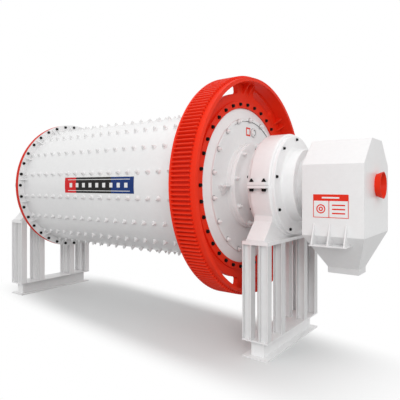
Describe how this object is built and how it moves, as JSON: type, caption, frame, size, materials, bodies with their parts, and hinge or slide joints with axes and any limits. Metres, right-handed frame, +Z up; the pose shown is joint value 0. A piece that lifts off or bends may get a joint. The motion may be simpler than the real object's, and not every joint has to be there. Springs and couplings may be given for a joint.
{
  "type": "ball mill",
  "caption": "Horizontal grinding drum with a toothed girth gear, carried by trunnion bearings on steel pedestals, with a discharge hood.",
  "frame": {"origin": "on the floor, under the middle of the whole machine's length and on the mill's centre plane", "axes": "+X along the mill from the feed end to the discharge hood, +Y to the back, +Z up; the front with the open view is -Y"},
  "size_m": [7.933, 3.52, 4.19],
  "materials": {
    "white_paint": "satin white paint",
    "red_paint": "satin red paint"
  },
  "bodies": {
    "frame": {"feed_pedestal_base": "white_paint", "feed_pedestal_top": "white_paint", "feed_column_1": "white_paint", "feed_column_2": "white_paint", "feed_column_3": "white_paint", "feed_column_4": "white_paint", "feed_column_5": "white_paint", "feed_column_6": "white_paint", "feed_column_7": "white_paint", "feed_column_8": "white_paint", "feed_bearing_base": "white_paint", "feed_bearing_cap": "white_paint", "feed_mill_side_cover": "white_paint", "feed_outer_cover": "white_paint", "discharge_pedestal_base": "white_paint", "discharge_pedestal_top": "white_paint", "discharge_column_1": "white_paint", "discharge_column_2": "white_paint", "discharge_column_3": "white_paint", "discharge_column_4": "white_paint", "discharge_column_5": "white_paint", "discharge_column_6": "white_paint", "discharge_column_7": "white_paint", "discharge_column_8": "white_paint", "discharge_bearing_base": "white_paint", "discharge_bearing_cap": "white_paint", "discharge_mill_side_cover": "white_paint", "discharge_outer_cover": "white_paint", "hood_casing": "white_paint", "hood_hopper": "white_paint", "outlet_neck": "white_paint", "duct_spout": "red_paint", "hood_collar": "white_paint", "front_bracket": "white_paint", "back_bracket": "white_paint"},
    "drum": {"shell": "white_paint", "feed_flange": "white_paint", "discharge_flange": "white_paint", "feed_head": "white_paint", "feed_head_ring": "red_paint", "discharge_head": "white_paint", "girth_gear_front": "red_paint", "girth_gear_back": "red_paint", "feed_trunnion": "white_paint", "discharge_trunnion": "white_paint"}
  },
  "joints": [
    {"name": "drum_spin", "type": "hinge", "parent": "frame", "child": "drum", "pos_m": [-0.5265, 0, 2.43], "axis": [1, 0, 0], "continuous": true}
  ]
}
